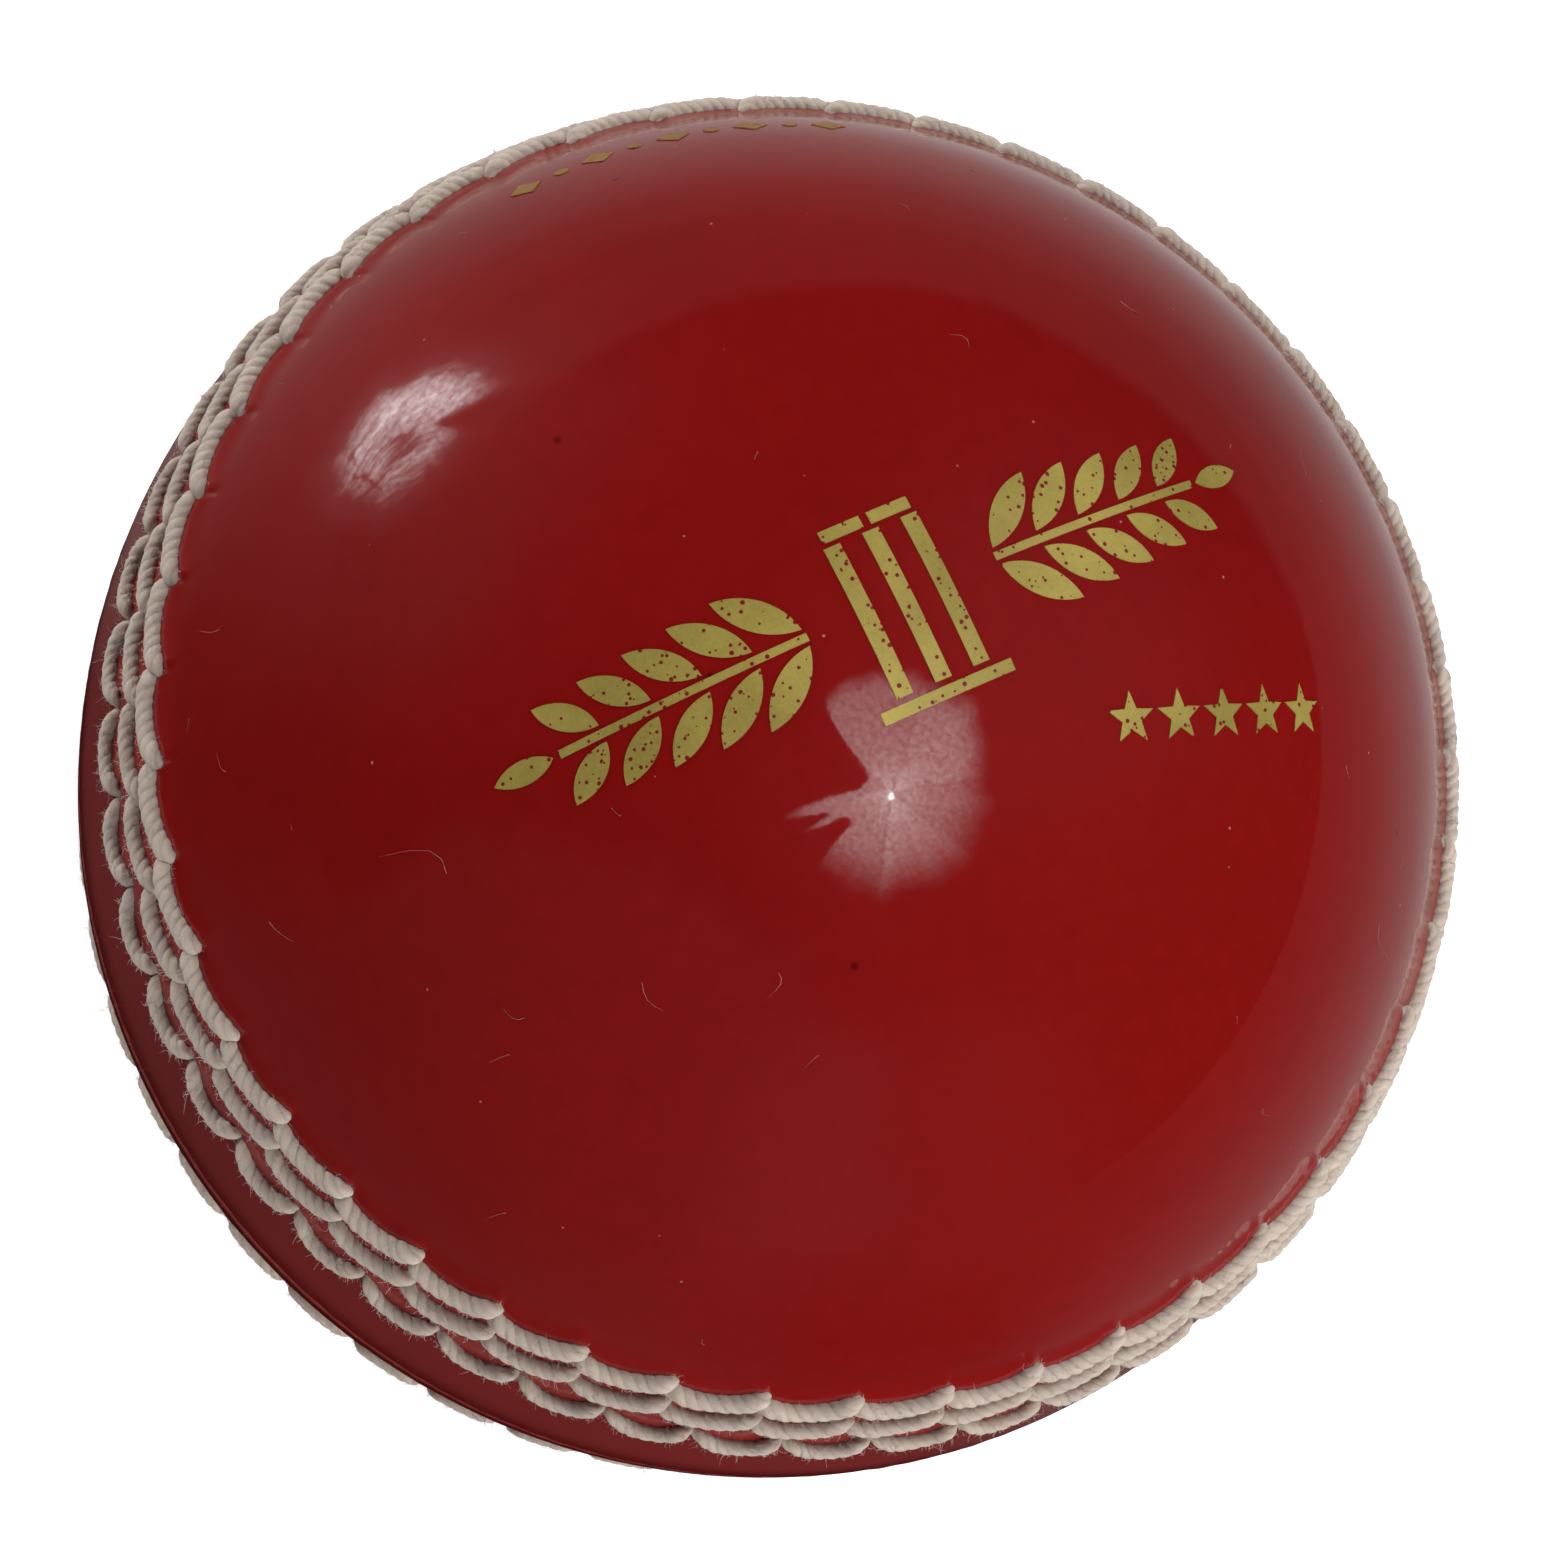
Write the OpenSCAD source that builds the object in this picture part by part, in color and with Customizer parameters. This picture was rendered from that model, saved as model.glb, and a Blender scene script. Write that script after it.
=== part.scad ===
// Cricket ball with a two-piece cover.
// A rubber and cork core is wrapped in four layers, each one a pair of cork
// cups held by a yarn winding. Two cover cups meet at the middle plane, where
// their lips stand up as a low ridge. Three rows of thick thread run round
// each cup, and three ornaments in gold foil lie on the upper cup.
// Millimetres. The ball's centre is the origin, the join of the two cups lies
// in the XY plane and the pole of the upper cup points along +Z.

/* [Ball] */
// Outside diameter of the cover, away from the seam
ball_d = 72; // [66:0.5:73]
// Wall thickness of each cover cup
cover_t = 4; // [3:0.1:5]
// How far the lips stand out where the two cups meet
lip_rise = 0.3; // [0.1:0.05:0.8]
// Height of one lip along the axis of the ball
lip_w = 1.1; // [0.6:0.1:2]

/* [Centre] */
// Diameter of the rubber and cork core
core_d = 30; // [20:1:40]
// Share of each layer that is cork, the rest being yarn
cork_share = 0.61; // [0.4:0.01:0.8]

/* [Seam] */
// Stitches in the outer row of each cup
outer_count = 45; // [30:1:60]
// Stitches in the middle row of each cup
middle_count = 46; // [30:1:60]
// Stitches in the inner row of each cup
inner_count = 48; // [30:1:60]
// Latitude of the row farthest from the join
outer_lat = 22.1; // [18:0.1:28]
// Latitude of the row between the other two
middle_lat = 18.5; // [12:0.1:24]
// Latitude of the row nearest the join
inner_lat = 13.8; // [6:0.1:18]
// Thread thickness of the outer row
outer_thread = 0.96; // [0.6:0.01:1.2]
// Thread thickness of the middle row
middle_thread = 0.86; // [0.6:0.01:1.2]
// Thread thickness of the inner row
inner_thread = 0.80; // [0.6:0.01:1.2]
// How deep the thread pulls the cover in along a row
pucker = 0.18; // [0.05:0.01:0.4]
// Length of the thread that goes down into each stitch hole
leg_len = 1.7; // [1:0.1:2.5]

/* [Ornaments] */
// Thickness of the gold foil
foil_t = 0.08; // [0.05:0.01:0.2]
// Direction of the large ornament's long side, from +X
spray_turn = 70.4; // [0:0.1:360]

/* [Hidden] */
$fn = 96;
k = ball_d / 72;
R = ball_d / 2;
inner_R = R - cover_t;
layer = (inner_R - core_d / 2) / 4;
cork = layer * cork_share;
// latitude, thread, sagitta of the crescent, tilt, first longitude, share of
// the pitch that the chord takes, number of stitches
rows = [
    [outer_lat, outer_thread, 0.55, 9, 1.9, 0.83, outer_count],
    [middle_lat, middle_thread, 0.60, 9, 0.9, 0.84, middle_count],
    [inner_lat, inner_thread, 0.75, 3, 2.0, 0.79, inner_count]
];
leather_red = [0.44, 0.05, 0.05];
cream = [0.82, 0.77, 0.68];
gold = [0.72, 0.58, 0.26];
cork_brown = [0.66, 0.48, 0.30];
yarn_grey = [0.80, 0.74, 0.62];

// ---- helpers ----

// the half space above the join plane
module above() translate([-50, -50, 0]) cube([100, 100, 50]);

// half of a hollow ball, rim on the join plane
module half_shell(ri, ro) {
    difference() {
        intersection() {
            sphere(r = ro);
            above();
        }
        sphere(r = ri);
    }
}

module hollow_ball(ri, ro) {
    difference() {
        sphere(r = ro);
        sphere(r = ri);
    }
}

// inner radius of layer n, counted from the core outwards
function layer_r(n) = core_d / 2 + (n - 1) * layer;

// radius at which the middle of a thread lies
function thread_r(t) = R - pucker + t / 2 + 0.05;

// places its child at one stitch of a row: +X outwards, +Y along, +Z to the pole
module at_stitch(row, n)
    rotate([0, 0, row[4] + n * 360 / row[6]])
        rotate([0, -row[0], 0])
            translate([thread_r(row[1]), 0, 0])
                rotate([row[3], 0, 0])
                    children();

// chord of a stitch and the radius and half angle of its crescent
function chord(row) = 2 * PI / row[6] * R * cos(row[0]) * row[5];
function arc_r(row) = (chord(row) * chord(row) / 4 + row[2] * row[2]) / (2 * row[2]);
function arc_a(row) = asin(chord(row) / 2 / arc_r(row));

// the end where the thread turns down into its hole
module at_head(row)
    translate([0, chord(row) / 2, row[2] / 3])
        children();

module leg(row)
    at_head(row)
        rotate([0, -90, 0])
            cylinder(d = row[1], h = leg_len);

module stitch(row) {
    t = row[1];
    union() {
        translate([0, 0, arc_r(row) - row[2] * 2 / 3])
            rotate([0, 90, 0])
                rotate([0, 0, -arc_a(row)])
                    rotate_extrude(angle = 2 * arc_a(row))
                        translate([arc_r(row), 0])
                            circle(d = t);
        at_head(row) sphere(d = t * 1.12);
        translate([0, -chord(row) / 2, row[2] / 3]) sphere(d = t * 1.04);
        leg(row);
    }
}

module stitch_row(row)
    for (n = [0 : row[6] - 1])
        at_stitch(row, n) stitch(row);

// section of a cover cup: wall, lip and the three shallow puckers
module cup_section() {
    pr = 3;
    difference() {
        intersection() {
            union() {
                circle(r = R);
                translate([R + lip_rise - lip_w * 0.8, lip_w * 0.25])
                    circle(r = lip_w * 0.8);
            }
            square([R + 5, R + 5]);
        }
        circle(r = inner_R);
        for (row = rows)
            rotate(row[0])
                translate([R - pucker + pr, 0])
                    circle(r = pr);
    }
}

module cover_cup() {
    difference() {
        rotate_extrude() cup_section();
        for (row = rows)
            for (n = [0 : row[6] - 1])
                at_stitch(row, n) leg(row);
    }
}

// keeps the part of a block that lies in the foil skin
module foil_skin()
    intersection() {
        hollow_ball(R, R + foil_t);
        children();
    }

// ---- flat shapes of the ornaments ----

// pointed leaf from the origin along +X
module leaf(l, w) {
    r = (l * l / 4 + w * w / 4) / w;
    translate([l / 2, 0])
        intersection() {
            translate([0, r - w / 2]) circle(r = r);
            translate([0, w / 2 - r]) circle(r = r);
        }
}

module star(r)
    polygon([for (i = [0 : 9])
        let (a = 90 + i * 36, q = i % 2 == 0 ? r : r * 0.42)
        [q * cos(a), q * sin(a)]]);

// one branch: a stem, five pairs of leaves that stand clear of it, and a tip
module branch() {
    translate([4.9, -0.2]) square([11.9, 0.4]);
    for (i = [0 : 4], side = [-1, 1])
        translate([5.0 + i * 2.45, side * 0.42])
            rotate(side * 42)
                leaf(4.3 - i * 0.32, 1.5 - i * 0.06);
    translate([17.1, 0]) leaf(2.7, 1.15);
}

// three stumps with two bails on a ground line
module wicket() {
    for (x = [-2.0, 0, 2.0])
        translate([x - 0.42, -4.3]) square([0.84, 7.7]);
    for (x = [-2.3, 0.2])
        translate([x, 3.65]) square([2.1, 0.6]);
    translate([-3.4, -5.2]) square([6.8, 0.6]);
}

// ---- sub-parts ----

module core() color([0.22, 0.17, 0.14]) sphere(d = core_d);

module first_cork_upper() color(cork_brown) half_shell(layer_r(1), layer_r(1) + cork);
module first_cork_lower() color(cork_brown) mirror([0, 0, 1]) half_shell(layer_r(1), layer_r(1) + cork);
module first_winding() color(yarn_grey) hollow_ball(layer_r(1) + cork, layer_r(2));

module second_cork_upper() color(cork_brown) half_shell(layer_r(2), layer_r(2) + cork);
module second_cork_lower() color(cork_brown) mirror([0, 0, 1]) half_shell(layer_r(2), layer_r(2) + cork);
module second_winding() color(yarn_grey) hollow_ball(layer_r(2) + cork, layer_r(3));

module third_cork_upper() color(cork_brown) half_shell(layer_r(3), layer_r(3) + cork);
module third_cork_lower() color(cork_brown) mirror([0, 0, 1]) half_shell(layer_r(3), layer_r(3) + cork);
module third_winding() color(yarn_grey) hollow_ball(layer_r(3) + cork, layer_r(4));

module fourth_cork_upper() color(cork_brown) half_shell(layer_r(4), layer_r(4) + cork);
module fourth_cork_lower() color(cork_brown) mirror([0, 0, 1]) half_shell(layer_r(4), layer_r(4) + cork);
module fourth_winding() color(yarn_grey) hollow_ball(layer_r(4) + cork, layer_r(5));

module upper_cover() color(leather_red) cover_cup();
module lower_cover() color(leather_red) rotate([180, 0, 0]) cover_cup();

module upper_outer_stitches() color(cream) stitch_row(rows[0]);
module upper_middle_stitches() color(cream) stitch_row(rows[1]);
module upper_inner_stitches() color(cream) stitch_row(rows[2]);
module lower_inner_stitches() color(cream) rotate([180, 0, 0]) stitch_row(rows[2]);
module lower_middle_stitches() color(cream) rotate([180, 0, 0]) stitch_row(rows[1]);
module lower_outer_stitches() color(cream) rotate([180, 0, 0]) stitch_row(rows[0]);

// wicket between two laurel branches, across the pole
module laurel_foil() color(gold)
    foil_skin()
        rotate([0, 0, spray_turn])
            translate([-0.2 * k, 2.1 * k, R * 0.7])
                linear_extrude(height = R * 0.4)
                    scale([k, k]) {
                        branch();
                        mirror([1, 0]) branch();
                        wicket();
                    }

// short line of five stars beside the large ornament
module star_foil() color(gold)
    foil_skin()
        for (i = [-2 : 2])
            rotate([0, 0, 34.1])
                rotate([0, 24.3, 0])
                    rotate([0, 0, 19.5])
                        translate([(0.8 + i * 2.75) * k, 0.4 * k, R - 1])
                            linear_extrude(height = 2)
                                star(1.3 * k);

// worn arc of dots and lozenges low on the upper cup
module worn_foil() color(gold)
    foil_skin()
        for (i = [0 : 8])
            rotate([0, 0, 151 + (i - 4) * 3.8])
                rotate([0, -31.2, 0])
                    translate([R - 1, 0, 0])
                        rotate([0, 90, 0])
                            linear_extrude(height = 2)
                                if (i % 2 == 0)
                                    rotate(45) square(1.25 * k, center = true);
                                else
                                    circle(d = 0.8 * k);

core();
first_cork_upper();
first_cork_lower();
first_winding();
second_cork_upper();
second_cork_lower();
second_winding();
third_cork_upper();
third_cork_lower();
third_winding();
fourth_cork_upper();
fourth_cork_lower();
fourth_winding();
upper_cover();
lower_cover();
upper_outer_stitches();
upper_middle_stitches();
upper_inner_stitches();
lower_inner_stitches();
lower_middle_stitches();
lower_outer_stitches();
laurel_foil();
star_foil();
worn_foil();
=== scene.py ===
import math
from collections import namedtuple

import bmesh
import bpy
import numpy as np
from bpy.props import FloatProperty, FloatVectorProperty, IntProperty, PointerProperty
from mathutils import Matrix, Vector


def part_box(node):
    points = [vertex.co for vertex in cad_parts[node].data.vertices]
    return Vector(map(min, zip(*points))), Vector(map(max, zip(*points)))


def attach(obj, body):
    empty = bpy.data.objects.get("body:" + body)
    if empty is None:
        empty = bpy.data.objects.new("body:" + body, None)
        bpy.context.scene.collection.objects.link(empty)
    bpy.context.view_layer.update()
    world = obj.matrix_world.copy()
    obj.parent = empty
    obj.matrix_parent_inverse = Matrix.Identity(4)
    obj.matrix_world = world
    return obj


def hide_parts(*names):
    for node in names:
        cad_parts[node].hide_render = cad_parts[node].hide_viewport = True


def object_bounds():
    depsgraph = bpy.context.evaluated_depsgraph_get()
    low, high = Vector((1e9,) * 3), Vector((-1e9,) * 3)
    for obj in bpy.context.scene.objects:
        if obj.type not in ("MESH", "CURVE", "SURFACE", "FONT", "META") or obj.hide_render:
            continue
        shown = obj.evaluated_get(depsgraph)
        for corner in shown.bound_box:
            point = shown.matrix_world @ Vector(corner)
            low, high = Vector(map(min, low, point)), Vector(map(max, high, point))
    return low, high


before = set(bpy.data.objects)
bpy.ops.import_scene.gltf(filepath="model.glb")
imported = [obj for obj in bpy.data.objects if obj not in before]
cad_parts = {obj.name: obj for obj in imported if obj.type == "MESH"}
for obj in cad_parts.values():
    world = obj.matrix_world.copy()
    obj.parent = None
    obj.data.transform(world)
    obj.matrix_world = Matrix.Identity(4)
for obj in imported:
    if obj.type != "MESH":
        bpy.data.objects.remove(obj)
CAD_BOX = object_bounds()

bl_info = {
    "name": "Cricket ball",
    "version": (1, 0, 0),
    "blender": (4, 5, 0),
    "location": "3D Viewport > Sidebar > Ball",
    "description": "Builds the visible pieces of a stitched cricket ball",
    "category": "Object",
}

MM = 0.001
RADIUS = round(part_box("upper_cover")[1].z / MM, 1)  # outside of the covers
CENTRE_RADIUS = round(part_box("fourth_winding")[1].z / MM, 1)  # inside of the covers
SMALL = 1e-9

# A row of stitches: latitude, thread thickness, sagitta and tilt of each stitch, the first
# stitch's longitude, the share of the pitch its chord takes, and the count. Then the gap left
# at each end, how much thicker the soft thread is drawn, how far the stitch bends as a share
# of its sagitta, and how high the leather is drawn up against it. Millimetres and degrees.
Row = namedtuple("Row", "name lat thread sag tilt first share count gap plump bend drawn")
ROWS = (
    Row("outer", 22.1, 0.96, 0.55, 9.0, 1.9, 0.83, 45, 0.00, 1.13, 0.60, 0.24),
    Row("middle", 18.5, 0.86, 0.60, 9.0, 0.9, 0.84, 46, 0.02, 1.15, 0.60, 0.17),
    Row("inner", 13.8, 0.80, 0.75, 3.0, 2.0, 0.79, 48, 0.12, 1.12, 0.85, 0.10),
)
PUCKER = 0.18  # how deep the thread sits in the leather, mm
DRAWN_WIDTH = 0.50  # how far out the leather drawn up against the thread sinks back, mm
POLE_SIDE = 1.8  # how many times wider it is on the side of the pole
LIP_RISE = 0.09  # height of the lip at the join, mm
LIP_WIDTH = 1.0  # how far from the join the lip sinks away, mm
BAND_DOME = 0.26  # height of the dome of the plain band, mm
BAND_MIDDLE = 1.7  # height of the middle of that dome over the join, mm
BAND_WIDTH = 2.5  # how far from its middle the dome sinks away, mm
HOLE_DENT = 0.16  # depth of the dents at the holes, mm
COVER_SEED = 11  # of the slow waves in the upper cup


# ---------------------------------------------------------------- settings


class CoverSettings(bpy.types.PropertyGroup):
    dye: FloatVectorProperty(
        name="Dye", description="Colour of the dyed leather", subtype="COLOR",
        default=(0.205, 0.0046, 0.0044), min=0.0, max=1.0)
    gloss: FloatProperty(
        name="Lacquer roughness", description="Roughness of the clear lacquer",
        default=0.035, min=0.0, max=1.0, subtype="FACTOR")
    wave: FloatProperty(
        name="Unevenness", description="Height of the slow waves in the cover",
        default=0.012 * MM, min=0.0, unit="LENGTH")
    columns: IntProperty(
        name="Columns", description="Points round the join of each cup",
        default=960, min=240, max=1920)


class ThreadSettings(bpy.types.PropertyGroup):
    cream: FloatVectorProperty(
        name="Thread", description="Colour of the waxed thread", subtype="COLOR",
        default=(0.58, 0.495, 0.425), min=0.0, max=1.0)
    lay: FloatProperty(
        name="Lay", description="Length of thread in which a ply goes once round",
        default=1.95 * MM, min=0.0005, unit="LENGTH")
    groove: FloatProperty(
        name="Groove", description="Depth of the creases between plies, against round plies",
        default=0.34, min=0.0, max=1.0, subtype="FACTOR")
    plies: IntProperty(
        name="Plies", description="Plies twisted into one thread", default=3, min=2, max=5)
    fuzz: IntProperty(
        name="Fuzz", description="Loose fibres standing out of one stitch",
        default=130, min=0, max=160)


class FoilSettings(bpy.types.PropertyGroup):
    gold: FloatVectorProperty(
        name="Foil", description="Colour of the stamped foil", subtype="COLOR",
        default=(0.43, 0.335, 0.075), min=0.0, max=1.0)
    rise: FloatProperty(
        name="Rise", description="Height of the foil over the cover",
        default=0.045 * MM, min=0.0, unit="LENGTH")


class StageSettings(bpy.types.PropertyGroup):
    floor: FloatVectorProperty(
        name="Floor", description="Colour of the floor", subtype="COLOR",
        default=(0.86, 0.86, 0.86), min=0.0, max=1.0)
    floor_glow: FloatProperty(
        name="Floor glow", description="Light given off by the floor, to keep it pale",
        default=0.62, min=0.0, max=1.0)
    lens: FloatProperty(
        name="Lens", description="Focal length of the camera", default=101.2,
        min=20.0, max=300.0, unit="CAMERA")
    distance: FloatProperty(
        name="Distance", description="From the centre of the ball to the camera",
        default=0.234, min=0.1, unit="LENGTH")


# ---------------------------------------------------------------- node helpers


def new_material(name, shader="ShaderNodeBsdfPrincipled"):
    """A material, its emptied tree, and the one shader its output shows."""
    mat = bpy.data.materials.new(name)
    mat.use_nodes = True
    tree = mat.node_tree
    tree.nodes.clear()
    out = tree.nodes.new("ShaderNodeOutputMaterial")
    skin = tree.nodes.new(shader)
    tree.links.new(skin.outputs[0], out.inputs["Surface"])
    return mat, tree, skin


def paint(tree, skin, colour, rough):
    tree.links.new(colour, skin.inputs["Base Color"])
    tree.links.new(rough, skin.inputs["Roughness"])


def place_in_mm(tree, turn=(0, 0, 0)):
    """Object coordinates in millimetres, turned."""
    coords = tree.nodes.new("ShaderNodeTexCoord")
    mapping = tree.nodes.new("ShaderNodeMapping")
    mapping.inputs["Scale"].default_value = (1 / MM, 1 / MM, 1 / MM)
    mapping.inputs["Rotation"].default_value = turn
    tree.links.new(coords.outputs["Object"], mapping.inputs["Vector"])
    return mapping.outputs["Vector"]


def noise(tree, vector, scale, detail=4.0, rough=0.55):
    node = tree.nodes.new("ShaderNodeTexNoise")
    node.inputs["Scale"].default_value = scale
    node.inputs["Detail"].default_value = detail
    node.inputs["Roughness"].default_value = rough
    tree.links.new(vector, node.inputs["Vector"])
    return node.outputs["Fac"]


def dots(tree, vector, scale):
    node = tree.nodes.new("ShaderNodeTexVoronoi")
    node.inputs["Scale"].default_value = scale
    tree.links.new(vector, node.inputs["Vector"])
    return node


def ramp(tree, value, stops):
    node = tree.nodes.new("ShaderNodeValToRGB")
    elements = node.color_ramp.elements
    while len(elements) < len(stops):
        elements.new(0.5)
    for element, (place, colour) in zip(elements, stops):
        element.position = place
        element.color = colour if len(colour) == 4 else (*colour, 1.0)
    tree.links.new(value, node.inputs["Fac"])
    return node.outputs["Color"]


def grey(level):
    return (level, level, level)


def fade(tree, value, *stops):
    """A ramp of greys, from pairs of place and level."""
    return ramp(tree, value, [(place, grey(level)) for place, level in stops])


def split_colour(tree, colour):
    node = tree.nodes.new("ShaderNodeSeparateColor")
    tree.links.new(colour, node.inputs["Color"])
    return node.outputs


def mix_colour(tree, factor, first, second, blend="MIX"):
    node = tree.nodes.new("ShaderNodeMix")
    node.data_type = "RGBA"
    node.blend_type = blend
    sockets = {socket.identifier: socket for socket in node.inputs}
    for socket, value in ((sockets["Factor_Float"], factor), (sockets["A_Color"], first),
                          (sockets["B_Color"], second)):
        if hasattr(value, "is_output"):
            tree.links.new(value, socket)
        elif isinstance(value, (int, float)):
            socket.default_value = value
        else:
            socket.default_value = (*value[:3], 1.0)
    return next(s for s in node.outputs if s.identifier == "Result_Color")


def maths(tree, operation, *values):
    node = tree.nodes.new("ShaderNodeMath")
    node.operation = operation
    for socket, value in zip(node.inputs, values):
        if hasattr(value, "is_output"):
            tree.links.new(value, socket)
        else:
            socket.default_value = value
    return node.outputs[0]


def times(tree, a, b):
    return maths(tree, "MULTIPLY", a, b)


def plus(tree, a, b):
    return maths(tree, "ADD", a, b)


def minus(tree, a, b):
    return maths(tree, "SUBTRACT", a, b)


def bump(tree, skin, height, distance, strength=1.0, socket="Normal"):
    node = tree.nodes.new("ShaderNodeBump")
    node.inputs["Strength"].default_value = strength
    node.inputs["Distance"].default_value = distance * MM
    tree.links.new(height, node.inputs["Height"])
    tree.links.new(node.outputs["Normal"], skin.inputs[socket])


# ---------------------------------------------------------------- mesh helpers


def put_in_scene(name, data):
    thing = bpy.data.objects.new(name, data)
    bpy.context.scene.collection.objects.link(thing)
    return thing


def solid(name, points, faces, material, normals=None):
    """A mesh piece from points in millimetres and lists of equal-length faces."""
    mesh = bpy.data.meshes.new(name)
    points = np.asarray(points, float) * MM
    groups = [np.asarray(f, np.int32) for f in faces if len(f)]
    corners = np.concatenate([g.ravel() for g in groups])
    sizes = np.concatenate([np.full(len(g), g.shape[1], np.int32) for g in groups])
    mesh.vertices.add(len(points))
    mesh.vertices.foreach_set("co", points.ravel())
    mesh.loops.add(len(corners))
    mesh.loops.foreach_set("vertex_index", corners)
    mesh.polygons.add(len(sizes))
    mesh.polygons.foreach_set("loop_start", np.concatenate([[0], np.cumsum(sizes)[:-1]]))
    mesh.polygons.foreach_set("loop_total", sizes)
    mesh.update(calc_edges=True)
    mesh.validate()
    mesh.shade_smooth()
    if normals is not None:
        mesh.normals_split_custom_set_from_vertices([tuple(n) for n in normals])
    mesh.materials.append(material)
    piece = put_in_scene(name, mesh)
    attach(piece, "root")
    return piece


def point_attribute(mesh, name, values):
    layer = mesh.attributes.new(name, "FLOAT", "POINT")
    layer.data.foreach_set("value", np.asarray(values, np.float32))


def ring_faces(start_a, count_a, start_b, count_b):
    """Quads between two equal rings, or triangles where one has twice the points."""
    if count_a == count_b:
        i = np.arange(count_a)
        j = (i + 1) % count_a
        return np.stack([start_a + i, start_a + j, start_b + j, start_b + i], 1), []
    flip = count_b > count_a
    if flip:
        start_a, count_a, start_b, count_b = start_b, count_b, start_a, count_a
    k = np.arange(count_b)
    near, mid, far = 2 * k, 2 * k + 1, (2 * k + 2) % count_a
    nxt = (k + 1) % count_b
    tri = np.concatenate([
        np.stack([start_a + near, start_a + mid, start_b + k], 1),
        np.stack([start_a + mid, start_b + nxt, start_b + k], 1),
        np.stack([start_a + mid, start_a + far, start_b + nxt], 1)])
    return [], (tri[:, ::-1] if flip else tri)


def rng(seed):
    return np.random.default_rng(seed)


def unit(v):
    v = np.asarray(v, float)
    return v / np.maximum(np.linalg.norm(v, axis=-1, keepdims=True), SMALL)


# ---------------------------------------------------------------- the seam's layout


def chord(row):
    return math.tau / row.count * RADIUS * math.cos(math.radians(row.lat)) * row.share


def thread_radius(row):
    return RADIUS - PUCKER + row.thread / 2 + 0.05


def stitch_axes(row, n):
    """Origin of a stitch and its axes: outwards, along the row, to the pole."""
    lon = math.radians(row.first + n * 360.0 / row.count)
    lat = math.radians(row.lat)
    cl, sl, cp, sp = math.cos(lon), math.sin(lon), math.cos(lat), math.sin(lat)
    out = np.array((cp * cl, cp * sl, sp))
    along = np.array((-sl, cl, 0.0))
    up = np.array((-sp * cl, -sp * sl, cp))
    t = math.radians(row.tilt)
    axes = np.array((out, along * math.cos(t) + up * math.sin(t),
                     up * math.cos(t) - along * math.sin(t)))
    return out * thread_radius(row), axes


def hole_place(row):
    """Longitude past a stitch's middle, and latitude, of the hole at its head."""
    t = math.radians(row.tilt)
    y, z = chord(row) / 2, row.sag / 3
    y, z = y * math.cos(t) - z * math.sin(t), y * math.sin(t) + z * math.cos(t)
    lat = math.radians(row.lat)
    reach = thread_radius(row)
    return (math.degrees(math.atan2(y, reach * math.cos(lat) - z * math.sin(lat))),
            row.lat + math.degrees(z / reach))


def beside_thread(row, lat, lon):
    """How near the thread of a row is to points of the cover: 1 under it, 0 far off."""
    pitch, half = 360.0 / row.count, chord(row) / 2
    t = math.radians(row.tilt)
    up = np.radians(lat - row.lat) * RADIUS
    first = np.floor((lon - row.first) / pitch)
    near = np.zeros(np.shape(lat))
    for n in (first, first + 1):
        east = np.radians(lon - row.first - n * pitch) * RADIUS * math.cos(math.radians(row.lat))
        y = east * math.cos(t) + up * math.sin(t)
        z = up * math.cos(t) - east * math.sin(t)
        q = np.clip(y / half, -1.0, 1.0)
        middle = row.sag * (row.bend * (q * q - 1) + 0.22)
        away = np.clip(np.abs(z - middle) - row.thread * 0.45, 0, None)
        past = np.clip(np.abs(y) - half - 0.1, 0, None)
        width = np.where(z > middle, DRAWN_WIDTH * POLE_SIDE, DRAWN_WIDTH)
        near = np.maximum(near, np.exp(-(away / width) ** 2 - (past / 0.35) ** 2))
    return near


def turn_over(points):
    """The lower half is the upper one turned half a turn about the X axis."""
    return np.asarray(points) * (1.0, -1.0, -1.0)


# ---------------------------------------------------------------- covers


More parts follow.
